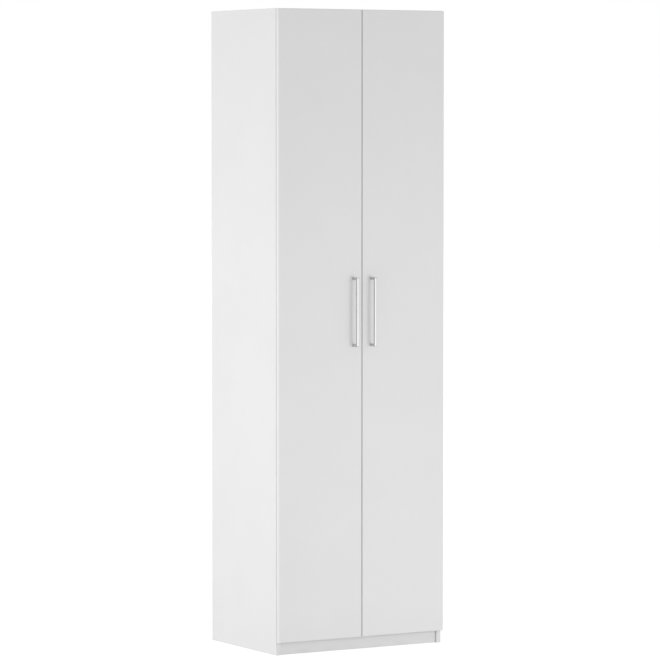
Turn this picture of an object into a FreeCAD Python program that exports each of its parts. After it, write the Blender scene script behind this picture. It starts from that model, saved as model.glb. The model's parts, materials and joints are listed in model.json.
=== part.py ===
"""Broom cupboard: two doors on concealed hinges, a broom bay, a shelf bay and a hat shelf. Millimetres.

+X is to the right, +Y to the back, +Z up. The origin is at the floor, in the middle of the overall box.
"""
import FreeCAD
import Part

import os

V = FreeCAD.Vector

# Overall sizes
WIDTH = 600.0
HEIGHT = 2000.0
CARCASS_DEPTH = 413.0
BOARD = 15.0
EDGE_RADIUS = 0.8

# Base and inner boards
PLINTH_HEIGHT = 42.0
PLINTH_SETBACK = 7.0
PLINTH_END_GAP = 1.0
HAT_SPACE = 270.0
BACK_THICKNESS = 3.0
BACK_INSET = 10.0
GROOVE_DEPTH = 8.0
GROOVE_PLAY = 0.1
BACK_END_PLAY = 0.5
BACK_LAP = 13.0

# Loose shelves and their pins
SHELF_COUNT = 4
SHELF_FIRST = 340.0
SHELF_PITCH = 288.0
SHELF_SETBACK = 20.0
SHELF_PLAY = 1.0
PIN_RADIUS = 2.5
PIN_DEPTH = 9.0
PIN_HEAD_RADIUS = 3.5
PIN_HEAD_LENGTH = 7.0
PIN_HEAD_CHAMFER = 1.0
PIN_ROW_INSET = 37.0
PIN_SPACING = 32.0
PIN_HOLES_EACH_WAY = 2

# Doors and handles
DOOR_THICKNESS = 15.0
DOOR_GAP = 1.1
DOOR_SIDE_REVEAL = 0.5
DOOR_CENTRE_GAP = 2.5
DOOR_BOTTOM = 40.0
DOOR_TOP_REVEAL = 1.0
DOOR_EDGE_RADIUS = 2.0
HANDLE_PROJECTION = 30.0
HANDLE_BAR_WIDTH = 8.0
HANDLE_BAR_DEPTH = 7.0
HANDLE_LEG = 8.0
HANDLE_CENTRES = 208.0
HANDLE_HEIGHT = 1060.0
HANDLE_FROM_CENTRE = 32.0
HANDLE_BEND = 3.0
HANDLE_EDGE = 0.8
HANDLE_SCREW_RADIUS = 2.0
HANDLE_SCREW_GRIP = 10.0
HANDLE_SCREW_HEAD_RADIUS = 4.0
HANDLE_SCREW_HEAD = 2.6
SCREW_PLAY = 0.2
BUFFER_RADIUS = 4.0
BUFFER_PLAY = 0.2
BUFFER_FROM_CENTRE = 70.0

# Knock-down fittings
CAM_RADIUS = 7.5
CAM_HEIGHT = 12.0
CAM_BACKSET = 24.0
CAM_PLAY = 0.1
CAM_CROSS_LENGTH = 9.0
CAM_CROSS_WIDTH = 1.6
CAM_CROSS_DEPTH = 1.5
BOLT_BORE_RADIUS = 4.0
BOLT_THREAD_RADIUS = 2.5
BOLT_THREAD_LENGTH = 9.5
BOLT_SHANK_RADIUS = 3.0
BOLT_NECK_RADIUS = 1.9
BOLT_NECK_LENGTH = 4.0
BOLT_HEAD_RADIUS = 3.2
BOLT_HEAD_LENGTH = 3.0
DOWEL_RADIUS = 4.0
DOWEL_IN_BOARD = 20.0
DOWEL_IN_CARRIER = 9.5
DOWEL_CHAMFER = 1.0
DOWEL_PLAY = 0.05
FITTING_END_PLAY = 0.5
CONNECTOR_INSET = 55.0
DOWEL_INSET = 95.0
BACK_SCREW_RADIUS = 1.5
BACK_SCREW_LENGTH = 18.0
BACK_SCREW_HEAD_RADIUS = 3.2
BACK_SCREW_HEAD = 1.8
BACK_SCREW_MARGIN = 60.0
BACK_SCREW_ROW_COUNT = 4
BACK_SCREW_COLUMN_COUNT = 3

# Wall brackets
BRACKET_FROM_CENTRE = 200.0
BRACKET_WIDTH = 30.0
BRACKET_LEG = 40.0
BRACKET_FOOT = 32.0
BRACKET_METAL = 2.0
BRACKET_ROUND = 7.5
BRACKET_HOLE_RADIUS = 2.75
BRACKET_HOLE_DROP = 24.0
BRACKET_SCREW_RADIUS = 1.75
BRACKET_SCREW_LENGTH = 12.0
BRACKET_SCREW_HEAD_RADIUS = 3.5
BRACKET_SCREW_HEAD = 2.0
BRACKET_SCREW_SPACING = 16.0

# Hinges: places across the cupboard are measured inwards from the side panel's inner face
HINGE_COUNT = 4
HINGE_END_INSET = 100.0
OPENING_ANGLE = 100.0
OUTER_LINK_TURN = 42.0
INNER_LINK_TURN = 121.3
OUTER_ARM_PIN_IN = 18.4
OUTER_ARM_PIN_OUT = 9.0
INNER_ARM_PIN_IN = 15.0
INNER_ARM_PIN_OUT = 2.7
OUTER_CUP_PIN_IN = -1.3
OUTER_CUP_PIN_SINK = 3.45
INNER_CUP_PIN_IN = -5.0
INNER_CUP_PIN_SINK = 6.7
RUNNING_PLAY = 0.05

# Hinge cup, sunk in the door's back
CUP_IN = 8.5
CUP_RADIUS = 17.5
CUP_DEPTH = 12.9
CUP_FIT = 0.1
CUP_WALL = 1.1
CUP_FLOOR = 0.8
CUP_FLANGE = 0.8
CUP_FLANGE_RIM = 2.0
CUP_SCREW_SPACING = 48.0
CUP_SCREW_OFFSET = 6.0
CUP_EAR_RADIUS = 6.5
CUP_SCREW_RADIUS = 1.75
CUP_SCREW_LENGTH = 11.0
CUP_SCREW_HEAD_RADIUS = 3.4
CUP_SCREW_HEAD = 1.6
OUTER_CUP_PIN_RADIUS = 1.25
OUTER_CUP_PIN_START = 4.2
OUTER_CUP_PIN_END = 13.3
INNER_CUP_PIN_RADIUS = 1.1
INNER_CUP_PIN_END = 9.3

# Hinge arm, a channel over the mounting plate with a nose that reaches into the cup
ARM_TOP = 21.0
ARM_LOW = 6.0
ARM_BACK = 72.0
ARM_METAL = 1.6
ARM_INSIDE_HALF = 7.0
ARM_WEB_FRONT = -1.0
ARM_NOSE_BEND = 12.0
ARM_NOSE_RADIUS = 2.7
ARM_BEND_ROUND = 1.4
OUTER_ARM_PIN_RADIUS = 1.5
INNER_ARM_PIN_RADIUS = 1.2
PIN_HEAD = 0.5

# Hinge links
OUTER_LINK_NEAR = 5.0
OUTER_LINK_FAR = 6.5
OUTER_LINK_WIDTH = 4.0
OUTER_LINK_BOW = 2.0
OUTER_LINK_SLEEVE = 2.4
OUTER_LINK_EYE = 2.4
INNER_LINK_HALF = 3.0
INNER_LINK_WIDTH = 2.4
INNER_LINK_EYE = 2.1
INNER_LINK_BOW_AT = 7.2
INNER_LINK_BOW = 5.3
FORK_ROOT = 17.6
FORK_SLOT_START = 19.1
FORK_END = 24.2
FORK_OFFSET = 0.72
FORK_SLOT_HALF = 2.2
FORK_WALL = 1.2

# Mounting plate
PLATE_AT = 37.0
PLATE_METAL = 2.0
PLATE_WING_HALF = 24.0
PLATE_WING_WIDTH = 18.0
PLATE_WING_ROUND = 7.2
PLATE_SPINE_HALF = 10.0
PLATE_FRONT = 14.0
PLATE_BACK = 66.0
PLATE_SCREW_SPACING = 32.0
PLATE_SCREW_RADIUS = 1.75
PLATE_SCREW_LENGTH = 11.0
PLATE_SCREW_HEAD_RADIUS = 3.5
PLATE_SCREW_HEAD = 2.0
POST_HALF = 6.7
POST_LENGTH = 14.0
FRONT_POST_AT = 29.0
REAR_POST_AT = 53.0
ARM_SCREW_RADIUS = 2.5
ARM_SCREW_LENGTH = 9.0
ARM_SCREW_HEAD_RADIUS = 4.0
ARM_SCREW_HEAD = 2.3

# Modelling: places nearer than this are the same, cutting tools start this far outside a piece, and a
# rounding takes at most this share of the wall that it is on
SAME = 1e-6
OVERCUT = 1.0
ROUND_SHARE = 0.45


def even_places(first, last, count):
    step = (last - first) / (count - 1)
    return [first + step * i for i in range(count)]


# Planes worked out from the sizes above
total_depth = CARCASS_DEPTH + DOOR_GAP + DOOR_THICKNESS + HANDLE_PROJECTION
y_back = total_depth / 2
y_front = y_back - CARCASS_DEPTH
y_door_back = y_front - DOOR_GAP
y_door_front = y_door_back - DOOR_THICKNESS
y_handle = y_door_front - HANDLE_PROJECTION
y_inner_back = y_back - BACK_INSET - BACK_THICKNESS
x_outer = WIDTH / 2
x_inner = x_outer - BOARD
z_floor_top = PLINTH_HEIGHT + BOARD
z_roof = HEIGHT - BOARD
z_hat = z_roof - HAT_SPACE - BOARD
z_door_top = HEIGHT - DOOR_TOP_REVEAL
x_door_edge = x_outer - DOOR_SIDE_REVEAL
hinge_heights = even_places(DOOR_BOTTOM + HINGE_END_INSET, z_door_top - HINGE_END_INSET, HINGE_COUNT)
shelf_heights = [SHELF_FIRST + i * SHELF_PITCH for i in range(SHELF_COUNT)]


def box(x0, x1, y0, y1, z0, z1):
    return Part.makeBox(x1 - x0, y1 - y0, z1 - z0, V(x0, y0, z0))


def same(a, b):
    return abs(a - b) < SAME


def limited(radius, wall):
    """A rounding's radius, kept small enough for the wall that it is on."""
    return min(radius, wall * ROUND_SHARE)


def rod(start, end, radius):
    return Part.makeCylinder(radius, (end - start).Length, start, end - start)


def turned_profile(points, axis):
    """Revolves (along, radius) points about the given axis through the origin."""
    along = V(axis)
    across = V(0, 1, 0) if abs(along.y) < 0.5 else V(1, 0, 0)
    corners = [along * a + across * r for a, r in points]
    face = Part.Face(Part.makePolygon(corners + corners[:1]))
    return face.revolve(V(0, 0, 0), along, 360)


def headed_screw(seat, into, radius, length, head_radius, head):
    """A pan-head screw whose head lies on seat and whose shank runs along into."""
    crown = head / 2
    screw = turned_profile([(-head, 0), (-head, head_radius - crown), (-crown, head_radius),
                            (0, head_radius), (0, radius), (length, radius), (length, 0)], into)
    return moved(screw, FreeCAD.Placement(seat, FreeCAD.Rotation()))


def rounded_front(board, plane):
    """Rounds the long edges of a board that lie in its front plane."""
    box_of = board.BoundBox
    longest = max(box_of.XLength, box_of.YLength, box_of.ZLength)
    front = [e for e in board.Edges
             if all(same(p.Point.y, plane) for p in e.Vertexes) and e.Length > longest / 2]
    return board.makeFillet(limited(EDGE_RADIUS, BOARD), front)


def moved(shape, place):
    copy = shape.copy()
    copy.Placement = place.multiply(copy.Placement)
    return copy


def group(solids):
    return Part.makeCompound(solids)


def mirrored(shape):
    return shape.mirror(V(0, 0, 0), V(1, 0, 0))


# Knock-down fittings, drawn where a board's end (x below 0) meets its carrier (x above 0)
def cam_lock():
    low = -BOARD / 2
    body = rod(V(-CAM_BACKSET, 0, low), V(-CAM_BACKSET, 0, low + CAM_HEIGHT), CAM_RADIUS - CAM_PLAY)
    claw_half = BOLT_HEAD_RADIUS + 2 * CAM_PLAY
    claw = box(-CAM_BACKSET - claw_half, 0, -claw_half, claw_half, -claw_half, claw_half)
    arm = CAM_CROSS_LENGTH / 2
    slit = CAM_CROSS_WIDTH / 2
    cross = [box(-CAM_BACKSET - arm, -CAM_BACKSET + arm, -slit, slit, low, low + CAM_CROSS_DEPTH),
             box(-CAM_BACKSET - slit, -CAM_BACKSET + slit, -arm, arm, low, low + CAM_CROSS_DEPTH)]
    return body.cut([claw] + cross)


def cam_bolt():
    head_end = -CAM_BACKSET
    head_start = head_end + BOLT_HEAD_LENGTH
    neck_start = head_start + BOLT_NECK_LENGTH
    thread = BOLT_THREAD_RADIUS - CAM_PLAY / 2
    return turned_profile([(head_end, 0), (head_end, BOLT_HEAD_RADIUS), (head_start, BOLT_HEAD_RADIUS),
                           (head_start, BOLT_NECK_RADIUS), (neck_start, BOLT_NECK_RADIUS),
                           (neck_start, BOLT_SHANK_RADIUS), (0, BOLT_SHANK_RADIUS), (0, thread),
                           (BOLT_THREAD_LENGTH, thread), (BOLT_THREAD_LENGTH, 0)], (1, 0, 0))


def connector_bores():
    low = -BOARD / 2
    depth = low + CAM_HEIGHT + CAM_PLAY
    return [rod(V(-CAM_BACKSET, 0, low - OVERCUT), V(-CAM_BACKSET, 0, depth), CAM_RADIUS),
            rod(V(-CAM_BACKSET, 0, 0), V(0, 0, 0), BOLT_BORE_RADIUS),
            rod(V(0, 0, 0), V(BOLT_THREAD_LENGTH + FITTING_END_PLAY, 0, 0), BOLT_THREAD_RADIUS)]


def dowel():
    tip = DOWEL_RADIUS - DOWEL_PLAY - DOWEL_CHAMFER
    full = DOWEL_RADIUS - DOWEL_PLAY
    start = -DOWEL_IN_BOARD
    end = DOWEL_IN_CARRIER
    return turned_profile([(start, 0), (start, tip), (start + DOWEL_CHAMFER, full),
                           (end - DOWEL_CHAMFER, full), (end, tip), (end, 0)], (1, 0, 0))


def dowel_bore():
    return rod(V(-DOWEL_IN_BOARD - FITTING_END_PLAY, 0, 0),
               V(DOWEL_IN_CARRIER + FITTING_END_PLAY, 0, 0), DOWEL_RADIUS)


def end_places(y, z, half_length):
    """Where a cross board's two ends meet the side panels."""
    right = FreeCAD.Placement(V(half_length, y, z), FreeCAD.Rotation())
    left = FreeCAD.Placement(V(-half_length, y, z), FreeCAD.Rotation(V(0, 0, 1), 180))
    return [right, left]


def divider_places(y):
    """Where the divider's ends meet the hat shelf and the bottom panel, cams facing the shelf bay."""
    up = FreeCAD.Placement(V(0, y, z_hat), FreeCAD.Rotation(V(0, 1, 0), -90))
    half_turn = FreeCAD.Rotation(V(0, 0, 1), 180)
    down = FreeCAD.Placement(V(0, y, z_floor_top), half_turn.multiply(FreeCAD.Rotation(V(0, 1, 0), 90)))
    return [up, down]


cross_boards = [z + BOARD / 2 for z in (z_roof, z_hat, PLINTH_HEIGHT)]
connector_rows = [y_front + CONNECTOR_INSET, y_inner_back - CONNECTOR_INSET]
dowel_rows = [y_front + DOWEL_INSET, y_inner_back - DOWEL_INSET]
rail_rows = [y_front + PLINTH_SETBACK + BOARD / 2, y_inner_back - BOARD / 2]
connector_places = [p for z in cross_boards for y in connector_rows for p in end_places(y, z, x_inner)]
connector_places += [p for y in connector_rows for p in divider_places(y)]
dowel_places = [p for z in cross_boards for y in dowel_rows for p in end_places(y, z, x_inner)]
dowel_places += [p for y in dowel_rows for p in divider_places(y)]
dowel_places += [p for y in rail_rows for p in end_places(y, PLINTH_HEIGHT / 2, x_inner)]
fitting_bores = [moved(bore, p) for p in connector_places for bore in connector_bores()]
fitting_bores += [moved(dowel_bore(), p) for p in dowel_places]


def fasteners():
    return {"cam_locks": group([moved(cam_lock(), p) for p in connector_places]),
            "cam_bolts": group([moved(cam_bolt(), p) for p in connector_places]),
            "dowels": group([moved(dowel(), p) for p in dowel_places])}


# Loose shelves, their pins and the pin holes
pin_rows = [y_front + PIN_ROW_INSET, y_inner_back - PIN_ROW_INSET]
pin_walls = [(BOARD / 2, 1), (x_inner, -1)]


def pin_hole_heights(shelf):
    centre = shelf - PIN_HEAD_RADIUS
    steps = range(-PIN_HOLES_EACH_WAY, PIN_HOLES_EACH_WAY + 1)
    return [centre + step * PIN_SPACING for step in steps]


def pin_holes(wall, inwards):
    deep = PIN_DEPTH + FITTING_END_PLAY
    return [rod(V(wall, y, z), V(wall - inwards * deep, y, z), PIN_RADIUS)
            for shelf in shelf_heights for z in pin_hole_heights(shelf) for y in pin_rows]


def shelf_pin(inwards):
    shaft = PIN_RADIUS - RUNNING_PLAY
    end = PIN_HEAD_LENGTH
    return turned_profile([(-PIN_DEPTH, 0), (-PIN_DEPTH, shaft), (0, shaft), (0, PIN_HEAD_RADIUS),
                           (end - PIN_HEAD_CHAMFER, PIN_HEAD_RADIUS),
                           (end, PIN_HEAD_RADIUS - PIN_HEAD_CHAMFER), (end, 0)], (inwards, 0, 0))


def shelves():
    parts = {}
    pins = []
    for number, z in enumerate(shelf_heights, 1):
        board = box(BOARD / 2 + SHELF_PLAY, x_inner - SHELF_PLAY, y_front + SHELF_SETBACK,
                    y_inner_back - SHELF_PLAY, z, z + BOARD)
        parts[f"shelf_{number}"] = rounded_front(board, y_front + SHELF_SETBACK)
        for wall, inwards in pin_walls:
            for y in pin_rows:
                place = FreeCAD.Placement(V(wall, y, z - PIN_HEAD_RADIUS), FreeCAD.Rotation())
                pins.append(moved(shelf_pin(inwards), place))
    parts["shelf_pins"] = group(pins)
    return parts


# Hinge points in plan: inwards from the side panel's inner face, outwards from the carcass front
def plan(inwards, outwards):
    return V(inwards, -outwards, 0)


outer_arm_pin = plan(OUTER_ARM_PIN_IN, OUTER_ARM_PIN_OUT)
inner_arm_pin = plan(INNER_ARM_PIN_IN, INNER_ARM_PIN_OUT)
outer_cup_pin = plan(OUTER_CUP_PIN_IN, DOOR_GAP + OUTER_CUP_PIN_SINK)
inner_cup_pin = plan(INNER_CUP_PIN_IN, DOOR_GAP + INNER_CUP_PIN_SINK)
arm_outside_half = ARM_INSIDE_HALF + ARM_METAL
up = V(0, 0, 1)


def pin_at(point, low, high, radius):
    return rod(point + up * low, point + up * high, radius)


def both_sides(shape):
    return [shape, shape.mirror(V(0, 0, 0), up)]


def slab(points, low, high):
    """A flat piece from plan points, between two heights."""
    corners = [p + up * low for p in points]
    return Part.Face(Part.makePolygon(corners + corners[:1])).extrude(up * (high - low))


def bowed_bar(start, middle, end, width, low, high):
    """A flat bar along the arc through three plan points."""
    arc = Part.Arc(start, middle, end).toShape().Curve
    ratio = width / 2 / arc.Radius

    def beside(point, share):
        return arc.Center + (point - arc.Center) * share

    outer = [beside(p, 1 + ratio) for p in (start, middle, end)]
    inner = [beside(p, 1 - ratio) for p in (end, middle, start)]
    edges = [Part.Arc(*outer).toShape(), Part.makeLine(outer[2], inner[0]),
             Part.Arc(*inner).toShape(), Part.makeLine(inner[2], outer[0])]
    face = Part.Face(Part.Wire(edges))
    face.translate(up * low)
    return face.extrude(up * (high - low))


class LinkAxes:
    """Places along a link, from its start pin to its end pin, and sideways towards the cup floor."""

    def __init__(self, start, end):
        self.start = start
        self.along = (end - start).normalize()
        self.across = V(self.along.y, -self.along.x, 0)

    def at(self, forward, sideways):
        return self.start + self.along * forward + self.across * sideways


def hinge_outer_link():
    axes = LinkAxes(outer_cup_pin, outer_arm_pin)
    length = (outer_arm_pin - outer_cup_pin).Length
    cheek = bowed_bar(outer_cup_pin, axes.at(length / 2, OUTER_LINK_BOW), outer_arm_pin, OUTER_LINK_WIDTH,
                      OUTER_LINK_NEAR, OUTER_LINK_FAR)
    eye = pin_at(outer_cup_pin, OUTER_LINK_NEAR, OUTER_LINK_FAR, OUTER_LINK_EYE)
    sleeve = pin_at(outer_arm_pin, -OUTER_LINK_FAR, OUTER_LINK_FAR, OUTER_LINK_SLEEVE)
    link = sleeve.fuse(both_sides(cheek) + both_sides(eye)).removeSplitter()
    far = OUTER_LINK_FAR
    return link.cut([pin_at(outer_arm_pin, -far, far, OUTER_ARM_PIN_RADIUS + RUNNING_PLAY),
                     pin_at(outer_cup_pin, -far, far, OUTER_CUP_PIN_RADIUS + RUNNING_PLAY)])


def hinge_inner_link():
    axes = LinkAxes(inner_cup_pin, inner_arm_pin)
    half = INNER_LINK_HALF
    root = axes.at(FORK_ROOT, FORK_OFFSET)
    bow = axes.at(INNER_LINK_BOW_AT, INNER_LINK_BOW)
    bar = bowed_bar(inner_cup_pin, bow, root, INNER_LINK_WIDTH, -half, half)
    eye = pin_at(inner_cup_pin, -half, half, INNER_LINK_EYE)
    jaw = FORK_SLOT_HALF + FORK_WALL
    crotch = FORK_ROOT - INNER_LINK_WIDTH / 2
    fork = slab([axes.at(crotch, FORK_OFFSET - FORK_SLOT_HALF),
                 axes.at(FORK_SLOT_START, FORK_OFFSET - jaw), axes.at(FORK_END, FORK_OFFSET - jaw),
                 axes.at(FORK_END, FORK_OFFSET + jaw), axes.at(FORK_SLOT_START, FORK_OFFSET + jaw),
                 axes.at(crotch, FORK_OFFSET + FORK_SLOT_HALF)], -half, half)
    past_end = FORK_END + OVERCUT
    slot = slab([axes.at(FORK_SLOT_START, FORK_OFFSET - FORK_SLOT_HALF),
                 axes.at(past_end, FORK_OFFSET - FORK_SLOT_HALF),
                 axes.at(past_end, FORK_OFFSET + FORK_SLOT_HALF),
                 axes.at(FORK_SLOT_START, FORK_OFFSET + FORK_SLOT_HALF)], -half, half)
    hole = pin_at(inner_cup_pin, -half, half, INNER_CUP_PIN_RADIUS + RUNNING_PLAY)
    return bar.fuse([eye, fork]).removeSplitter().cut([slot, hole])


def hinge_arm():
    """A bent channel whose nose carries the two link pins, with a screw slot that is open to the rear."""
    nose_side = plan(INNER_ARM_PIN_IN - ARM_NOSE_RADIUS, INNER_ARM_PIN_OUT)
    tip_side = plan(OUTER_ARM_PIN_IN - ARM_NOSE_RADIUS, OUTER_ARM_PIN_OUT)
    outline = [V(ARM_LOW, ARM_BACK, 0), V(ARM_LOW, ARM_NOSE_BEND, 0), nose_side, tip_side,
               V(ARM_TOP, outer_arm_pin.y, 0), V(ARM_TOP, ARM_BACK, 0)]
    block = slab(outline, -arm_outside_half, arm_outside_half)
    bends = [e for e in block.Edges
             if e.Length > ARM_BACK and all(same(p.Point.x, ARM_TOP) for p in e.Vertexes)]
    block = block.makeFillet(limited(ARM_BEND_ROUND, 2 * ARM_METAL), bends)
    knuckles = [pin_at(p, -arm_outside_half, arm_outside_half, ARM_NOSE_RADIUS)
                for p in (outer_arm_pin, inner_arm_pin)]
    block = block.fuse(knuckles).removeSplitter()
    nose_end = outer_arm_pin.y - ARM_NOSE_RADIUS
    nose_top = outer_arm_pin.x + ARM_NOSE_RADIUS
    inside = ARM_INSIDE_HALF
    hollow = [box(0, ARM_TOP - ARM_METAL, nose_end, ARM_BACK, -inside, inside),
              box(0, max(ARM_TOP, nose_top), nose_end, ARM_WEB_FRONT, -inside, inside)]
    slot_half = ARM_SCREW_RADIUS + SCREW_PLAY
    holes = [pin_at(outer_arm_pin, -arm_outside_half, arm_outside_half, OUTER_ARM_PIN_RADIUS),
             pin_at(inner_arm_pin, -arm_outside_half, arm_outside_half, INNER_ARM_PIN_RADIUS),
             box(0, ARM_TOP, REAR_POST_AT, ARM_BACK, -slot_half, slot_half)]
    holes += [rod(V(0, y, 0), V(ARM_TOP, y, 0), slot_half) for y in (FRONT_POST_AT, REAR_POST_AT)]
    return block.cut(hollow + holes)


def hinge_arm_pins():
    pins = []
    for point, radius in ((outer_arm_pin, OUTER_ARM_PIN_RADIUS), (inner_arm_pin, INNER_ARM_PIN_RADIUS)):
        pin = pin_at(point, -arm_outside_half, arm_outside_half, radius)
        heads = both_sides(pin_at(point, arm_outside_half, arm_outside_half + PIN_HEAD, radius + PIN_HEAD))
        pins.append(pin.fuse(heads).removeSplitter())
    return pins


def hinge_plate():
    wing_front = PLATE_AT - PLATE_WING_WIDTH / 2
    wing_back = PLATE_AT + PLATE_WING_WIDTH / 2
    wings = box(0, PLATE_METAL, wing_front, wing_back, -PLATE_WING_HALF, PLATE_WING_HALF)
    corners = [e for e in wings.Edges if same(e.Length, PLATE_METAL)]
    wings = wings.makeFillet(limited(PLATE_WING_ROUND, PLATE_WING_WIDTH), corners)
    spine = box(0, PLATE_METAL, PLATE_FRONT, PLATE_BACK, -PLATE_SPINE_HALF, PLATE_SPINE_HALF)
    post_top = ARM_TOP - ARM_METAL
    posts = [box(0, post_top, y - POST_LENGTH / 2, y + POST_LENGTH / 2, -POST_HALF, POST_HALF)
             for y in (FRONT_POST_AT, REAR_POST_AT)]
    plate = wings.fuse([spine] + posts).removeSplitter()
    holes = [rod(V(post_top - ARM_SCREW_LENGTH, y, 0), V(post_top, y, 0), ARM_SCREW_RADIUS)
             for y in (FRONT_POST_AT, REAR_POST_AT)]
    holes += [rod(V(0, PLATE_AT, z), V(PLATE_METAL, PLATE_AT, z), PLATE_SCREW_RADIUS)
              for z in (-PLATE_SCREW_SPACING / 2, PLATE_SCREW_SPACING / 2)]
    return plate.cut(holes)


def hinge_plate_screws():
    return [headed_screw(V(PLATE_METAL, PLATE_AT, z), V(-1, 0, 0), PLATE_SCREW_RADIUS,
                         PLATE_SCREW_LENGTH + PLATE_METAL, PLATE_SCREW_HEAD_RADIUS, PLATE_SCREW_HEAD)
            for z in (-PLATE_SCREW_SPACING / 2, PLATE_SCREW_SPACING / 2)]


def hinge_plate_bores():
    deep = PLATE_SCREW_LENGTH + FITTING_END_PLAY
    return [rod(V(-deep, PLATE_AT, z), V(0, PLATE_AT, z), PLATE_SCREW_RADIUS)
            for z in (-PLATE_SCREW_SPACING / 2, PLATE_SCREW_SPACING / 2)]


def hinge_arm_screws():
    return [headed_screw(V(ARM_TOP, y, 0), V(-1, 0, 0), ARM_SCREW_RADIUS, ARM_SCREW_LENGTH + ARM_METAL,
                         ARM_SCREW_HEAD_RADIUS, ARM_SCREW_HEAD)
            for y in (FRONT_POST_AT, REAR_POST_AT)]


# The cup and its screws hang on the door's back face
cup_screw_spots = [(CUP_IN + CUP_SCREW_OFFSET, z) for z in (-CUP_SCREW_SPACING / 2, CUP_SCREW_SPACING / 2)]


def hinge_cup():
    body_radius = CUP_RADIUS - CUP_FIT
    cavity_radius = body_radius - CUP_WALL
    flange_top = plan(CUP_IN, DOOR_GAP - CUP_FLANGE)
    seat = plan(CUP_IN, DOOR_GAP)
    bottom = plan(CUP_IN, DOOR_GAP + CUP_DEPTH - 2 * CUP_FIT)
    floor = plan(CUP_IN, DOOR_GAP + CUP_DEPTH - 2 * CUP_FIT - CUP_FLOOR)
    body = rod(seat, bottom, body_radius)
    disc = rod(flange_top, seat, body_radius + CUP_FLANGE_RIM)
    ear_x = CUP_IN + CUP_SCREW_OFFSET
    tongue = box(ear_x - CUP_EAR_RADIUS, ear_x + CUP_EAR_RADIUS, seat.y, flange_top.y,
                 -CUP_SCREW_SPACING / 2, CUP_SCREW_SPACING / 2)
    ears = [rod(V(x, flange_top.y, z), V(x, seat.y, z), CUP_EAR_RADIUS) for x, z in cup_screw_spots]
    flange = disc.fuse([tongue] + ears)
    door_edge_side = CUP_IN - body_radius
    reach = CUP_SCREW_SPACING
    trim = box(door_edge_side - reach, door_edge_side, seat.y - CUP_FLANGE, flange_top.y + CUP_FLANGE,
               -reach, reach)
    cup = body.fuse([flange.cut(trim)]).removeSplitter()
    holes = [rod(flange_top, floor, cavity_radius)]
    holes += [rod(V(x, flange_top.y, z), V(x, seat.y, z), CUP_SCREW_RADIUS) for x, z in cup_screw_spots]
    return cup.cut(holes + hinge_cup_pins())


def hinge_cup_pins():
    stubs = both_sides(pin_at(outer_cup_pin, OUTER_CUP_PIN_START, OUTER_CUP_PIN_END, OUTER_CUP_PIN_RADIUS))
    return stubs + [pin_at(inner_cup_pin, -INNER_CUP_PIN_END, INNER_CUP_PIN_END, INNER_CUP_PIN_RADIUS)]


def hinge_cup_screws():
    seat_y = -(DOOR_GAP - CUP_FLANGE)
    return [headed_screw(V(x, seat_y, z), V(0, -1, 0), CUP_SCREW_RADIUS, CUP_SCREW_LENGTH + CUP_FLANGE,
                         CUP_SCREW_HEAD_RADIUS, CUP_SCREW_HEAD) for x, z in cup_screw_spots]


def hinge_door_bores():
    back = -DOOR_GAP
    bores = [rod(plan(CUP_IN, DOOR_GAP), plan(CUP_IN, DOOR_GAP + CUP_DEPTH), CUP_RADIUS)]
    bores += [rod(V(x, back, z), V(x, back - CUP_SCREW_LENGTH - FITTING_END_PLAY, z), CUP_SCREW_RADIUS)
              for x, z in cup_screw_spots]
    return bores


def on_left(shape, z):
    """A hinge piece carried to its height on the left side panel."""
    return moved(shape, FreeCAD.Placement(V(-x_inner, y_front, z), FreeCAD.Rotation()))


def at_all_hinges(solids):
    return [on_left(s, z) for z in hinge_heights for s in solids]


# Carcass boards
def side_panel(holes):
    board = rounded_front(box(x_inner, x_outer, y_front, y_back, 0, HEIGHT), y_front)
    groove = box(x_inner, x_inner + GROOVE_DEPTH, y_inner_back - GROOVE_PLAY,
                 y_inner_back + BACK_THICKNESS + GROOVE_PLAY, z_floor_top - BACK_LAP - BACK_END_PLAY,
                 z_roof + GROOVE_DEPTH)
    return board.cut([groove] + fitting_bores + holes)


def cross_board(z, back):
    return rounded_front(box(-x_inner, x_inner, y_front, back, z, z + BOARD), y_front).cut(fitting_bores)


def back_screw_spots():
    spread = x_inner - BACK_SCREW_MARGIN
    across = even_places(-spread, spread, BACK_SCREW_ROW_COUNT)
    spots = [(x, z + BOARD / 2) for z in (PLINTH_HEIGHT, z_hat) for x in across]
    upwards = even_places(z_floor_top, z_hat, BACK_SCREW_COLUMN_COUNT + 2)[1:-1]
    return spots + [(0, z) for z in upwards]


def back_screws():
    seat_y = y_inner_back + BACK_THICKNESS
    return [headed_screw(V(x, seat_y, z), V(0, -1, 0), BACK_SCREW_RADIUS, BACK_SCREW_LENGTH,
                         BACK_SCREW_HEAD_RADIUS, BACK_SCREW_HEAD) for x, z in back_screw_spots()]


def back_screw_bores():
    seat_y = y_inner_back + BACK_THICKNESS
    return [rod(V(x, seat_y, z), V(x, seat_y - BACK_SCREW_LENGTH - FITTING_END_PLAY, z), BACK_SCREW_RADIUS)
            for x, z in back_screw_spots()]


bracket_spots = [-BRACKET_FROM_CENTRE, BRACKET_FROM_CENTRE]
bracket_hole_z = z_roof - BRACKET_HOLE_DROP


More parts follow.
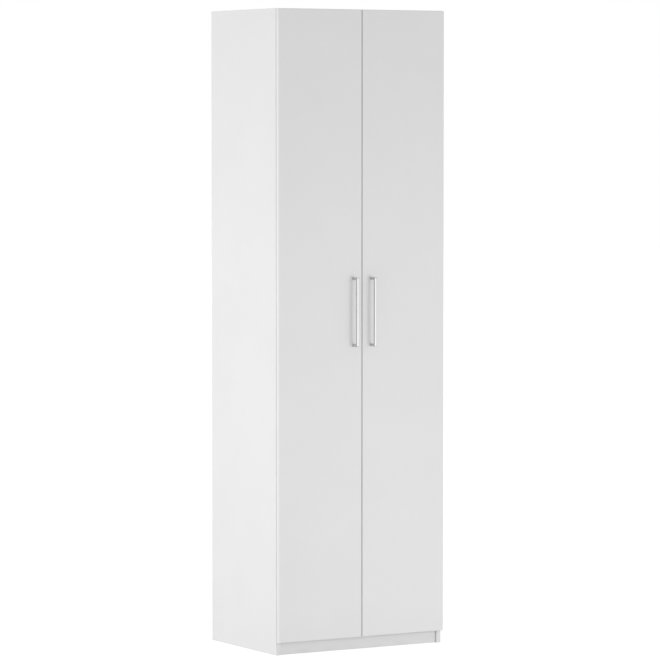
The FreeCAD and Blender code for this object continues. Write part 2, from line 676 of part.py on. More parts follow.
def wall_bracket(x):
    half = BRACKET_WIDTH / 2
    rounding = limited(BRACKET_ROUND, BRACKET_WIDTH)
    leg = box(x - half, x + half, y_inner_back - BRACKET_METAL, y_inner_back, z_roof - BRACKET_LEG, z_roof)
    lower = [e for e in leg.Edges if same(e.Length, BRACKET_METAL) and e.BoundBox.ZMax < z_roof - SAME]
    leg = leg.makeFillet(rounding, lower)
    front = y_inner_back - BRACKET_FOOT
    seat_z = z_roof - BRACKET_METAL
    foot = box(x - half, x + half, front, y_inner_back, seat_z, z_roof)
    ends = [e for e in foot.Edges if same(e.Length, BRACKET_METAL) and e.BoundBox.YMax < front + SAME]
    foot = foot.makeFillet(rounding, ends)
    holes = [rod(V(sx, bracket_screw_y, seat_z), V(sx, bracket_screw_y, z_roof), BRACKET_SCREW_RADIUS)
             for sx in bracket_screw_xs(x)]
    return leg.fuse(foot).removeSplitter().cut(holes + [bracket_hole(x)])


bracket_screw_y = y_inner_back - BRACKET_FOOT / 2


def bracket_screw_xs(x):
    return [x - BRACKET_SCREW_SPACING / 2, x + BRACKET_SCREW_SPACING / 2]


def bracket_hole(x):
    return rod(V(x, y_inner_back - BRACKET_METAL, bracket_hole_z),
               V(x, y_inner_back + BACK_THICKNESS, bracket_hole_z), BRACKET_HOLE_RADIUS)


def bracket_screws():
    seat_z = z_roof - BRACKET_METAL
    length = BRACKET_SCREW_LENGTH + BRACKET_METAL
    return [headed_screw(V(sx, bracket_screw_y, seat_z), V(0, 0, 1), BRACKET_SCREW_RADIUS, length,
                         BRACKET_SCREW_HEAD_RADIUS, BRACKET_SCREW_HEAD)
            for x in bracket_spots for sx in bracket_screw_xs(x)]


def bracket_screw_bores():
    deep = BRACKET_SCREW_LENGTH + FITTING_END_PLAY
    return [rod(V(sx, bracket_screw_y, z_roof), V(sx, bracket_screw_y, z_roof + deep), BRACKET_SCREW_RADIUS)
            for x in bracket_spots for sx in bracket_screw_xs(x)]


def carcass():
    plate_bores = at_all_hinges(hinge_plate_bores())
    parts = {}
    parts["right_side_panel"] = side_panel([mirrored(b) for b in plate_bores] + pin_holes(x_inner, -1))
    parts["left_side_panel"] = mirrored(side_panel([mirrored(b) for b in plate_bores]))
    groove = box(-x_inner, x_inner, y_inner_back - GROOVE_PLAY, y_inner_back + BACK_THICKNESS + GROOVE_PLAY,
                 z_roof, z_roof + GROOVE_DEPTH)
    parts["top_panel"] = cross_board(z_roof, y_back).cut([groove] + bracket_screw_bores())
    parts["hat_shelf"] = cross_board(z_hat, y_inner_back).cut(back_screw_bores())
    parts["bottom_panel"] = cross_board(PLINTH_HEIGHT, y_inner_back).cut(back_screw_bores())
    upright = box(-BOARD / 2, BOARD / 2, y_front, y_inner_back, z_floor_top, z_hat)
    upright_bores = fitting_bores + back_screw_bores() + pin_holes(BOARD / 2, 1)
    parts["divider"] = rounded_front(upright, y_front).cut(upright_bores)
    tongue = GROOVE_DEPTH - BACK_END_PLAY
    sheet = box(-x_inner - tongue, x_inner + tongue, y_inner_back, y_inner_back + BACK_THICKNESS,
                z_floor_top - BACK_LAP, z_roof + tongue)
    parts["back_panel"] = sheet.cut(back_screw_bores() + [bracket_hole(x) for x in bracket_spots])
    rail_half = x_inner - PLINTH_END_GAP
    plinth_front = y_front + PLINTH_SETBACK
    plinth = box(-rail_half, rail_half, plinth_front, plinth_front + BOARD, 0, PLINTH_HEIGHT)
    parts["plinth"] = rounded_front(plinth, plinth_front).cut(fitting_bores)
    rail = box(-rail_half, rail_half, y_inner_back - BOARD, y_inner_back, 0, PLINTH_HEIGHT)
    parts["rear_rail"] = rail.cut(fitting_bores)
    parts["back_screws"] = group(back_screws())
    parts["wall_brackets"] = group([wall_bracket(x) for x in bracket_spots])
    parts["bracket_screws"] = group(bracket_screws())
    return parts


# Doors with their handles, seen as the left one and mirrored for the right
handle_screw_heights = [HANDLE_HEIGHT - HANDLE_CENTRES / 2, HANDLE_HEIGHT + HANDLE_CENTRES / 2]


def left_door():
    inner_edge = -DOOR_CENTRE_GAP / 2
    board = box(-x_door_edge, inner_edge, y_door_front, y_door_back, DOOR_BOTTOM, z_door_top)
    rims = [e for e in board.Edges if e.BoundBox.YLength < SAME]
    board = board.makeFillet(limited(DOOR_EDGE_RADIUS, DOOR_THICKNESS), rims)
    holes = at_all_hinges(hinge_door_bores())
    holes += [rod(V(-HANDLE_FROM_CENTRE, y_door_front, z), V(-HANDLE_FROM_CENTRE, y_door_back, z),
                  HANDLE_SCREW_RADIUS + SCREW_PLAY) for z in handle_screw_heights]
    return board.cut(holes)


def left_handle():
    half = HANDLE_BAR_WIDTH / 2
    reach = HANDLE_CENTRES / 2 + HANDLE_LEG / 2
    gap = HANDLE_CENTRES / 2 - HANDLE_LEG / 2
    x = -HANDLE_FROM_CENTRE
    bow = box(x - half, x + half, y_handle, y_door_front, HANDLE_HEIGHT - reach, HANDLE_HEIGHT + reach)
    bends = [e for e in bow.Edges if same(e.Length, HANDLE_BAR_WIDTH) and e.BoundBox.YMax < y_handle + SAME]
    bow = bow.makeFillet(HANDLE_BEND, bends)
    space = box(x - half, x + half, y_handle + HANDLE_BAR_DEPTH, y_door_front,
                HANDLE_HEIGHT - gap, HANDLE_HEIGHT + gap)
    inside = [e for e in space.Edges
              if same(e.Length, HANDLE_BAR_WIDTH) and e.BoundBox.YMax < y_door_front - SAME]
    bow = bow.cut(space.makeFillet(HANDLE_BEND, inside))
    rims = [e for e in bow.Edges if e.BoundBox.XLength < SAME and e.BoundBox.YMax < y_door_front - SAME]
    bow = bow.makeFillet(HANDLE_EDGE, rims)
    return bow.cut([rod(V(x, y_door_front, z), V(x, y_door_front - HANDLE_SCREW_GRIP - FITTING_END_PLAY, z),
                        HANDLE_SCREW_RADIUS) for z in handle_screw_heights])


def left_handle_screws():
    return [headed_screw(V(-HANDLE_FROM_CENTRE, y_door_back, z), V(0, -1, 0), HANDLE_SCREW_RADIUS,
                         DOOR_THICKNESS + HANDLE_SCREW_GRIP, HANDLE_SCREW_HEAD_RADIUS, HANDLE_SCREW_HEAD)
            for z in handle_screw_heights]


def left_buffers():
    pads = []
    for z in (PLINTH_HEIGHT + BOARD / 2, z_roof + BOARD / 2):
        seat = V(-BUFFER_FROM_CENTRE, y_door_back, z)
        pad = rod(seat, seat + V(0, DOOR_GAP - BUFFER_PLAY, 0), BUFFER_RADIUS)
        pads.append(pad)
    return pads


def left_door_set():
    parts = {"door": left_door(), "handle": left_handle()}
    parts["handle_screws"] = group(left_handle_screws())
    parts["buffers"] = group(left_buffers())
    for number, z in enumerate(hinge_heights, 1):
        parts[f"hinge_cup_{number}"] = on_left(hinge_cup(), z)
        parts[f"hinge_arm_{number}"] = on_left(hinge_arm(), z)
    parts["cup_pins"] = group(at_all_hinges(hinge_cup_pins()))
    parts["cup_screws"] = group(at_all_hinges(hinge_cup_screws()))
    parts["outer_links"] = group(at_all_hinges([hinge_outer_link()]))
    parts["inner_links"] = group(at_all_hinges([hinge_inner_link()]))
    parts["hinge_plates"] = group(at_all_hinges([hinge_plate()]))
    return parts


def on_both_sides(solids):
    left = at_all_hinges(solids)
    return group(left + [mirrored(s) for s in left])


def build():
    parts = carcass()
    parts.update(shelves())
    parts.update(fasteners())
    for name, shape in left_door_set().items():
        parts[f"left_{name}"] = shape
        parts[f"right_{name}"] = mirrored(shape)
    parts["plate_screws"] = on_both_sides(hinge_plate_screws())
    parts["arm_screws"] = on_both_sides(hinge_arm_screws())
    parts["arm_pins"] = on_both_sides(hinge_arm_pins())
    return parts


def joint_report(sign, name):
    """Prints the pivots of one door's hinge linkage, in millimetres and degrees."""
    for label, point in (("outer link on arm", outer_arm_pin), ("door on outer link", outer_cup_pin),
                         ("inner link on cup", inner_cup_pin)):
        x = sign * (-x_inner + point.x)
        print(name, label, round(x, 3), round(y_front + point.y, 3))


os.makedirs("parts", exist_ok=True)
for part_name, part_shape in build().items():
    part_shape.exportStep(f"parts/{part_name}.step")
    print(part_name, len(part_shape.Solids), part_shape.isValid(), round(part_shape.Volume / 1000, 2))
joint_report(1, "left")
joint_report(-1, "right")
turn_of_door = OPENING_ANGLE + OUTER_LINK_TURN
print("door on link", turn_of_door, "outer ratio", round(-OUTER_LINK_TURN / turn_of_door, 5),
      "inner ratio", round(-INNER_LINK_TURN / turn_of_door, 5), "hinge heights", hinge_heights)
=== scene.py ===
"""Broom cupboard in white melamine board, with bow handles and concealed hinges, in metres and degrees."""

import json
import math
from typing import NamedTuple

import bmesh
import bpy
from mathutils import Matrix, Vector


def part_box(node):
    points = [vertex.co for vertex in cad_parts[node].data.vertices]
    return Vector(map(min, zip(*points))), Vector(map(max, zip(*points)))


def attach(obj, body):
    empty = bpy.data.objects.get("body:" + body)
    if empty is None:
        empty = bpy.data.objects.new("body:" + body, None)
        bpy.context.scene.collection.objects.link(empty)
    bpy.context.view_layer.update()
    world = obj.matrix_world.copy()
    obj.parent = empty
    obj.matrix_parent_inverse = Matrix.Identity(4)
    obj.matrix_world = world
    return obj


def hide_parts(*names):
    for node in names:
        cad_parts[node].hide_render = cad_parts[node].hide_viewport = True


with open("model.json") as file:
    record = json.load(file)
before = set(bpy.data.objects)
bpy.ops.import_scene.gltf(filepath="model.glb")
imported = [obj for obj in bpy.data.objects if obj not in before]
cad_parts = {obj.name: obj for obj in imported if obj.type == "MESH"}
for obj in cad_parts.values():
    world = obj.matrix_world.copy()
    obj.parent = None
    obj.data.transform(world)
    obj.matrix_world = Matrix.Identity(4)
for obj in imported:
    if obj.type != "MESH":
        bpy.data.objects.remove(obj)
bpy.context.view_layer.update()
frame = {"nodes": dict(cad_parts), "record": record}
nodes = frame["nodes"]
bodies = frame["record"]["behaviour"]["bodies"]
body_of = {node: body for body, members in bodies.items() for node in members}

SIDES = ("left", "right")
X, Y, Z = 0, 1, 2
UP = Vector((0, 0, 1))
DOWN = Vector((0, 0, -1))
FORWARD = Vector((0, -1, 0))
BACKWARD = Vector((0, 1, 0))

# Tolerances: what counts as along an axis, as no distance, and the digits that places are sorted by
ALONG = 0.99
SLACK = 1e-6
SORT_DIGITS = 5

# Handles: a bar on two legs, bent at the corners
BAR_DEPTH = 0.007
LEG_HEIGHT = 0.008
BEND_RADIUS = 0.003
BEND_STEPS = 6
RIM_RADIUS = 0.0005
RIM_STEPS = 3
RIM_ANGLE = 40
HANDLE_SMOOTH = 40


class Screw(NamedTuple):
    """Shank radius, head height and thread pitch."""
    shank: float
    head: float
    pitch: float


# Screws, by the node that they stand for
WOOD_SCREW = Screw(shank=0.00175, head=0.0020, pitch=0.0013)
ARM_SCREW = Screw(shank=0.00250, head=0.0023, pitch=0.0010)
BACK_SCREW = Screw(shank=0.00150, head=0.0018, pitch=0.0012)
CUP_SCREW = Screw(shank=0.00175, head=0.0016, pitch=0.0013)
HANDLE_SCREW = Screw(shank=0.00200, head=0.0026, pitch=0.0009)
SCREWS = {
    "plate_screws": WOOD_SCREW,
    "arm_screws": ARM_SCREW,
    "bracket_screws": WOOD_SCREW,
    "back_screws": BACK_SCREW,
    "left_cup_screws": CUP_SCREW,
    "right_cup_screws": CUP_SCREW,
    "left_handle_screws": HANDLE_SCREW,
    "right_handle_screws": HANDLE_SCREW,
}
SCREW_SIDES = 20
SCREW_SMOOTH = 35

# Thread: shares of the shank's radius at the root and at the tip
THREAD_TURNS = 5
THREAD_ROOT = 0.78
TIP_SHARE = 0.35

# Crowned head with a cross recess: shares of the head's height and radius
CROWN_SHARE = 0.55
CROWN_STEPS = 3
CROSS_REACH = 0.62
CROSS_WIDTH = 0.22
CROSS_DEPTH = 0.6
CROSS_TAPER = 0.55
LEAST_RIM = 0.05

# Soft pads behind the doors
PAD_SIDES = 28
PAD_DOME = 0.0005
PAD_STEPS = 4
PAD_SMOOTH = 50


class Pattern(NamedTuple):
    """A noise, its stretch, the band of its values that shows, and the share at the top of the band."""
    scale: float
    detail: float = 2.0
    roughness: float = 0.5
    stretch: tuple = ()
    band: tuple = (0.0, 1.0)
    most: float = 1.0


# Melamine coat
WHITE_COAT = (0.83, 0.83, 0.83, 1)
COAT_SHADE = 0.985
COAT_ROUGHNESS = (0.46, 0.58)
COAT_HEIGHT = 0.00002
COAT_DRIFT = Pattern(5.0, detail=3.0, band=(0.35, 0.65))
COAT_GLOSS = Pattern(45.0, detail=4.0)
COAT_PEEL = Pattern(420.0)
COAT_PEARL = Pattern(1500.0, detail=1.0)
PEARL_SHARE = 0.4

# Which way a face has to point to be a broad face of a board, or one of its banded edges
BROAD_FACE = 0.5
BANDED_FACE = 0.2
FRONT_EDGE = (Y, -1)
TOP_EDGE = (Z, 1)

# Glued edge bands and the hairline beside them
BOARD_BAND = 0.0008
DOOR_BAND = 0.0020
SEAM_HALF_WIDTH = 0.00015
SEAM_STRENGTH = 0.8
SEAM_TONE = 0.78

# Sawn chipboard
CHIP_DARK = (0.36, 0.25, 0.14, 1)
CHIP_PALE = (0.66, 0.52, 0.34, 1)
DUST_DARK = (0.30, 0.20, 0.11, 1)
CHIP_SCALE = 420.0
CHIP_WANDER = Pattern(160.0)
WANDER_REACH = 0.004
CHIP_DUST = Pattern(900.0, detail=3.0, band=(0.4, 0.75), most=0.45)
CHIP_HEIGHT = 0.0004
SAWN_ROUGHNESS = 0.85

# Bare fibreboard
FIBRE_DARK = (0.21, 0.125, 0.068, 1)
FIBRE_PALE = (0.36, 0.235, 0.135, 1)
BLOTCH_BROWN = (0.27, 0.165, 0.09, 1)
FIBRES = Pattern(320.0, detail=6.0, roughness=0.7, stretch=(1.0, 1.0, 0.55), band=(0.3, 0.7))
FIBRE_BLOTCHES = Pattern(14.0, detail=4.0, band=(0.35, 0.7), most=0.35)
FIBRE_HEIGHT = 0.00012
FIBRE_ROUGHNESS = 0.7

# Beech dowels
BEECH_DARK = (0.56, 0.37, 0.21, 1)
BEECH_PALE = (0.74, 0.55, 0.36, 1)
FLECK_BROWN = (0.42, 0.25, 0.13, 1)
BEECH_RINGS = Pattern(500.0, detail=4.0, roughness=0.65, stretch=(0.12, 1.0, 1.0), band=(0.3, 0.7))
BEECH_FLECKS = Pattern(1800.0, stretch=(0.25, 1.0, 1.0), band=(0.6, 0.75), most=0.5)
BEECH_HEIGHT = 0.00005
BEECH_ROUGHNESS = 0.6

# Metals: colour, stretch and scale of the drawn lines, roughness from and to, height of the lines
NICKEL_STEEL = {"colour": (0.70, 0.69, 0.67, 1), "stretch": (1, 1, 0.2), "lines": 1400.0,
                "gloss": (0.16, 0.26), "height": 0.000002}
CAST_ZINC = {"colour": (0.56, 0.57, 0.58, 1), "stretch": (1, 1, 1), "lines": 1100.0,
             "gloss": (0.34, 0.5), "height": 0.00002}
SATIN_HANDLE = {"colour": (0.60, 0.60, 0.60, 1), "stretch": (1, 1, 0.03), "lines": 2200.0,
                "gloss": (0.45, 0.54), "height": 0.000006}
PLATED_SCREW = {"colour": (0.60, 0.60, 0.61, 1), "stretch": (1, 1, 1), "lines": 1600.0,
                "gloss": (0.22, 0.36), "height": 0.000008}
METAL_SHADE = 0.94
METAL_BAND = (0.3, 0.7)
METAL_CLOUD = Pattern(60.0, detail=3.0)
LINE_DETAIL = 3.0
LINE_ROUGHNESS = 0.6

# Clear soft plastic
PAD_CLOUDY = (0.78, 0.79, 0.79, 1)
PAD_CLEAR = (0.9, 0.9, 0.9, 1)
PAD_CLOUD = Pattern(900.0)
PAD_ROUGHNESS = (0.25, 0.4)
PAD_TRANSMISSION = 0.6
PAD_IOR = 1.42

# Camera
CAMERA_PLACE = (-6.0318, -10.3024, 1.6481)
CAMERA_YAW = 30.350
CAMERA_PITCH = 3.139
CAMERA_LENS = 206.07
SENSOR_WIDTH = 36

# Floor, world and lamps
WHITE = (1, 1, 1, 1)
FLOOR_SIZE = 60.0
FLOOR_DROP = 0.0002
FLOOR_MATT = (0.88, 0.88, 0.88, 1)
FLOOR_SHADED = (0.25, 0.25, 0.25, 1)
FLOOR_GLOW = 0.9
AMBIENT = 0.675
SIDE_LAMP = {"at": (-3.0, 0.15, 1.02), "aim": (-0.3, 0.02, 1.02), "size": (1.7, 1.7),
             "power": 26.5, "spread": 180}
FRONT_LAMP = {"at": (0.66, -2.6, 0.75), "aim": (0.0, -0.2, 0.75), "size": (1.0, 0.6),
              "power": 11.3, "spread": 180}
LOW_LAMP = {"at": (1.8, -2.1, 0.20), "aim": (0.3, -0.2, 0.04), "size": (0.9, 0.3),
            "power": 0.13, "spread": 36}

# Kinds of group sockets, and the places of a Mix node's sockets when it mixes colours
COLOUR = "NodeSocketColor"
NUMBER = "NodeSocketFloat"
VECTOR = "NodeSocketVector"
SKIN = {"Colour": COLOUR, "Roughness": NUMBER, "Height": NUMBER}
MIX_INPUTS = (0, 6, 7)
MIX_RESULT = 2


# Selecting and editing
def make_active(piece):
    bpy.ops.object.select_all(action="DESELECT")
    piece.select_set(True)
    bpy.context.view_layer.objects.active = piece


def start_edit(piece):
    make_active(piece)
    bpy.ops.object.mode_set(mode="EDIT")


def end_edit():
    bpy.ops.object.mode_set(mode="OBJECT")


def pick_faces(piece, test):
    """Selects the faces whose middle and normal pass the test."""
    bpy.ops.mesh.select_mode(type="FACE")
    bpy.ops.mesh.select_all(action="DESELECT")
    mesh = bmesh.from_edit_mesh(piece.data)
    for face in mesh.faces:
        if test(face.calc_center_median(), face.normal):
            face.select_set(True)
    bmesh.update_edit_mesh(piece.data)


def pick_edges(piece, test):
    """Selects the edges whose middle and direction pass the test."""
    bpy.ops.mesh.select_mode(type="EDGE")
    bpy.ops.mesh.select_all(action="DESELECT")
    mesh = bmesh.from_edit_mesh(piece.data)
    for edge in mesh.edges:
        start, end = (v.co for v in edge.verts)
        if test((start + end) / 2, (end - start).normalized()):
            edge.select_set(True)
    bmesh.update_edit_mesh(piece.data)


def near(a, b):
    return abs(a - b) < SLACK


def pull(offset):
    """Extrudes what is selected by an offset."""
    bpy.ops.mesh.extrude_region_move(TRANSFORM_OT_translate={"value": offset})


def narrow(share, centre):
    """Scales what is selected about a point, in the plane across Z."""
    bpy.ops.transform.resize(value=(share, share, 1), center_override=centre)


def round_edges(piece, test, radius, steps):
    """Rounds the edges whose middle and direction pass the test."""
    pick_edges(piece, test)
    bpy.ops.mesh.bevel(offset=radius, segments=steps, affect="EDGES")


def settle(piece):
    """Puts the piece's place, turn and scale into its mesh."""
    make_active(piece)
    bpy.ops.object.transform_apply(location=True, rotation=True, scale=True)


def soften(piece, angle):
    """Shades the piece smooth across edges that turn by less than an angle."""
    make_active(piece)
    bpy.ops.object.shade_smooth_by_angle(angle=math.radians(angle))


def mount(piece, name, node):
    """Names a finished piece and puts it on the body of the CAD node that it stands for."""
    piece.name = name
    piece.data.name = name
    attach(piece, body_of[node])
    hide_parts(node)


def solid_boxes(node):
    """The low and high corner of each separate solid of a node."""
    copy = nodes[node].copy()
    copy.data = nodes[node].data.copy()
    copy.parent = None
    bpy.context.scene.collection.objects.link(copy)
    start_edit(copy)
    bpy.ops.mesh.select_all(action="SELECT")
    bpy.ops.mesh.remove_doubles(threshold=SLACK)
    bpy.ops.mesh.separate(type="LOOSE")
    end_edit()
    boxes = []
    for part in bpy.context.selected_objects:
        corners = [Vector(c) for c in part.bound_box]
        low = Vector(min(c[i] for c in corners) for i in (X, Y, Z))
        high = Vector(max(c[i] for c in corners) for i in (X, Y, Z))
        boxes.append((low, high))
    bpy.ops.object.delete()
    return sorted(boxes, key=lambda pair: tuple(round(v, SORT_DIGITS) for v in pair[0]))


def copies_joined(master, places):
    """Copies a master to each (place, turn), joins the copies and deletes the master."""
    made = []
    for place, turn in places:
        make_active(master)
        bpy.ops.object.duplicate()
        copy = bpy.context.object
        copy.rotation_mode = "QUATERNION"
        copy.rotation_quaternion = turn
        copy.location = place
        made.append(copy)
    bpy.ops.object.select_all(action="DESELECT")
    for copy in made:
        copy.select_set(True)
    bpy.context.view_layer.objects.active = made[0]
    bpy.ops.object.transform_apply(location=True, rotation=True, scale=True)
    bpy.ops.object.join()
    joined = bpy.context.object
    bpy.data.objects.remove(master)
    return joined


# Handles
def bow_handle(side):
    """A bar drawn out to two legs, with bent corners and rounded rims."""
    node = f"{side}_handle"
    low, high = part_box(node)
    middle = (low + high) / 2
    size = high - low
    bar_back = low.y + BAR_DEPTH
    leg_insides = (low.z + LEG_HEIGHT, high.z - LEG_HEIGHT)

    def leg_root(centre, normal):
        return normal.y > ALONG and abs(centre.z - middle.z) > size.z / 2 - LEG_HEIGHT

    def outer_corner(centre, along):
        at_end = near(centre.z, low.z) or near(centre.z, high.z)
        return abs(along.x) > ALONG and near(centre.y, low.y) and at_end

    def inner_corner(centre, along):
        at_leg = any(near(centre.z, height) for height in leg_insides)
        return abs(along.x) > ALONG and near(centre.y, bar_back) and at_leg

    bpy.ops.object.select_all(action="DESELECT")
    bpy.ops.mesh.primitive_cube_add(size=1, location=(middle.x, low.y + BAR_DEPTH / 2, middle.z),
                                    scale=(size.x, BAR_DEPTH, size.z))
    handle = bpy.context.object
    settle(handle)
    start_edit(handle)
    for height in leg_insides:
        bpy.ops.mesh.select_all(action="SELECT")
        bpy.ops.mesh.bisect(plane_co=(0, 0, height), plane_no=UP)
    pick_faces(handle, leg_root)
    pull((0, high.y - bar_back, 0))
    round_edges(handle, outer_corner, BEND_RADIUS, BEND_STEPS)
    round_edges(handle, inner_corner, BEND_RADIUS, BEND_STEPS)
    end_edit()
    rims = handle.modifiers.new("rims", "BEVEL")
    rims.width = RIM_RADIUS
    rims.segments = RIM_STEPS
    rims.limit_method = "ANGLE"
    rims.angle_limit = math.radians(RIM_ANGLE)
    bpy.ops.object.modifier_apply(modifier=rims.name)
    soften(handle, HANDLE_SMOOTH)
    mount(handle, f"{side}_bow_handle", node)
    return handle


# Screws with a crowned head, a cross recess and a thread
def screw_master(screw, length, head_radius):
    """A screw whose head stands up from the origin and whose shank hangs below it."""
    bpy.ops.object.select_all(action="DESELECT")
    bpy.ops.mesh.primitive_cylinder_add(vertices=SCREW_SIDES, radius=head_radius, depth=screw.head,
                                        location=(0, 0, screw.head / 2))
    piece = bpy.context.object
    settle(piece)
    start_edit(piece)
    crown = screw.head * CROWN_SHARE
    round_edges(piece, lambda centre, along: near(centre.z, screw.head), crown, CROWN_STEPS)
    cross_recess(piece, screw.head, head_radius)
    threaded_shank(piece, screw, length, head_radius)
    end_edit()
    soften(piece, SCREW_SMOOTH)
    return piece


def cross_recess(piece, head, head_radius):
    """Sinks a tapered cross into the flat top of the head."""
    reach = head_radius * CROSS_REACH
    arm = head_radius * CROSS_WIDTH / 2
    flat_rim = max(head_radius - head * CROWN_SHARE - reach, head_radius * LEAST_RIM)

    def on_top(centre, normal):
        return normal.z > ALONG and near(centre.z, head) and centre.to_2d().length < reach

    def in_cross(centre, normal):
        return on_top(centre, normal) and min(abs(centre.x), abs(centre.y)) < arm

    pick_faces(piece, on_top)
    bpy.ops.mesh.inset(thickness=flat_rim)
    for across in ((1, 0, 0), (0, 1, 0)):
        for offset in (-arm, arm):
            pick_faces(piece, on_top)
            bpy.ops.mesh.bisect(plane_co=[offset * v for v in across], plane_no=across)
    pick_faces(piece, in_cross)
    pull((0, 0, -head * CROSS_DEPTH))
    narrow(CROSS_TAPER, (0, 0, head * (1 - CROSS_DEPTH)))


def threaded_shank(piece, screw, length, head_radius):
    """Draws the shank out of the head's underside: a plain stretch, the thread and the tip."""
    pick_faces(piece, lambda centre, normal: normal.z < -ALONG and near(centre.z, 0))
    bpy.ops.mesh.inset(thickness=head_radius - screw.shank)
    depth = length - screw.pitch * (THREAD_TURNS + 1)
    pull((0, 0, -depth))
    for _ in range(THREAD_TURNS):
        for share in (THREAD_ROOT, 1 / THREAD_ROOT):
            depth += screw.pitch / 2
            pull((0, 0, -screw.pitch / 2))
            narrow(share, (0, 0, -depth))
    pull((0, 0, -screw.pitch))
    narrow(TIP_SHARE, (0, 0, -length))


def driven_into(node, low, high):
    """The direction in which a screw of this node was driven."""
    if node == "bracket_screws":
        return UP
    if node in ("plate_screws", "arm_screws"):
        return Vector((math.copysign(1, low.x + high.x), 0, 0))
    return FORWARD


def screws(node):
    """The screws of a node: one is modelled, and copied to the place of each solid."""
    screw = SCREWS[node]
    boxes = solid_boxes(node)
    first_low, first_high = boxes[0]
    head_width, _, whole_length = sorted(first_high - first_low)
    length = whole_length - screw.head
    to_middle = (length - screw.head) / 2
    places = []
    for low, high in boxes:
        into = driven_into(node, low, high)
        seat = (low + high) / 2 - into * to_middle
        places.append((seat, DOWN.rotation_difference(into)))
    joined = copies_joined(screw_master(screw, length, head_width / 2), places)
    mount(joined, f"{node}_cross_head", node)
    return joined


# Soft clear pads behind the doors
def door_pads(side):
    """Round pads with a domed rim, which the closed door rests on."""
    node = f"{side}_buffers"
    boxes = solid_boxes(node)
    low, high = boxes[0]
    radius = (high.x - low.x) / 2
    thick = high.y - low.y
    bpy.ops.object.select_all(action="DESELECT")
    bpy.ops.mesh.primitive_cylinder_add(vertices=PAD_SIDES, radius=radius, depth=thick, location=(0, 0, 0))
    pad = bpy.context.object
    start_edit(pad)
    round_edges(pad, lambda centre, along: near(centre.z, thick / 2), PAD_DOME, PAD_STEPS)
    end_edit()
    soften(pad, PAD_SMOOTH)
    turn = UP.rotation_difference(BACKWARD)
    joined = copies_joined(pad, [((low + high) / 2, turn) for low, high in boxes])
    mount(joined, f"{side}_soft_pads", node)
    return joined


# Building shader trees
def join(tree, value, socket):
    """Links a socket to another one, or sets it to a value."""
    if isinstance(value, bpy.types.NodeSocket):
        tree.links.new(value, socket)
    else:
        socket.default_value = value


def add(tree, kind, **sockets):
    """Adds a node, and gives its sockets a value or a link."""
    made = tree.nodes.new(kind)
    for name, value in sockets.items():
        join(tree, value, made.inputs[name.replace("_", " ")])
    return made


def calc(tree, operation, *values):
    """The result of a Math node."""
    made = tree.nodes.new("ShaderNodeMath")
    made.operation = operation
    for value, socket in zip(values, made.inputs):
        join(tree, value, socket)
    return made.outputs[0]


def mixed(tree, share, first, second):
    """A colour between two others."""
    made = tree.nodes.new("ShaderNodeMix")
    made.data_type = "RGBA"
    for value, index in zip((share, first, second), MIX_INPUTS):
        join(tree, value, made.inputs[index])
    return made.outputs[MIX_RESULT]


def mapped(tree, value, target, source=(0.0, 1.0)):
    """Maps a value from a source range to a target range."""
    return add(tree, "ShaderNodeMapRange", Value=value, From_Min=source[0], From_Max=source[1],
               To_Min=target[0], To_Max=target[1]).outputs[0]


def noise(tree, points, pattern):
    """The outputs of a noise over the points."""
    if pattern.stretch:
        points = add(tree, "ShaderNodeMapping", Vector=points, Scale=pattern.stretch).outputs[0]
    return add(tree, "ShaderNodeTexNoise", Vector=points, Scale=pattern.scale, Detail=pattern.detail,
               Roughness=pattern.roughness).outputs


def grain(tree, points, pattern):
    """The value of a noise over the points."""
    return noise(tree, points, pattern)["Fac"]


def mottled(tree, value, pattern, ground, marks):
    """A colour that goes from the ground to the marks over the band of a pattern."""
    return mixed(tree, mapped(tree, value, (0.0, pattern.most), pattern.band), ground, marks)


def shaded(tree, colour, tone):
    """The colour with its brightness times a tone."""
    return add(tree, "ShaderNodeHueSaturation", Color=colour, Value=tone).outputs[0]


def split(tree, vector):
    """The X, Y and Z of a vector."""
    return add(tree, "ShaderNodeSeparateXYZ", Vector=vector).outputs


def object_points(tree):
    return tree.nodes.new("ShaderNodeTexCoord").outputs["Object"]


def raised(tree, height, distance, **under):
    """A bump of the given real height, on another normal if one is given."""
    return add(tree, "ShaderNodeBump", Height=height, Distance=distance, **under).outputs[0]


def new_group(name, inputs, outputs):
    """An empty shader group with its sockets, given as names and kinds."""
    tree = bpy.data.node_groups.new(name, "ShaderNodeTree")
    for socket, kind in inputs.items():
        tree.interface.new_socket(name=socket, in_out="INPUT", socket_type=kind)
    for socket, kind in outputs.items():
        tree.interface.new_socket(name=socket, in_out="OUTPUT", socket_type=kind)
    return tree, tree.nodes.new("NodeGroupInput").outputs, tree.nodes.new("NodeGroupOutput").inputs


def use_group(tree, group, **sockets):
    """Places a group, and gives its sockets a value or a link."""
    made = tree.nodes.new("ShaderNodeGroup")
    made.node_tree = group
    for name, value in sockets.items():
        join(tree, value, made.inputs[name.replace("_", " ")])
    return made.outputs


def empty_tree(owner):
    """The cleared shader tree of a material or a world."""
    owner.use_nodes = True
    owner.node_tree.nodes.clear()
    return owner.node_tree


def new_material(name):
    """A material with its tree and the sockets of its surface."""
    material = bpy.data.materials.new(name)
    tree = empty_tree(material)
    shader = tree.nodes.new("ShaderNodeBsdfPrincipled")
    output = tree.nodes.new("ShaderNodeOutputMaterial")
    tree.links.new(shader.outputs[0], output.inputs[0])
    return material, tree, shader.inputs


def finish_surface(tree, surface, colour, roughness, relief):
    """Gives a surface its colour, its gloss and its relief."""
    join(tree, colour, surface["Base Color"])
    join(tree, roughness, surface["Roughness"])
    join(tree, relief, surface["Normal"])


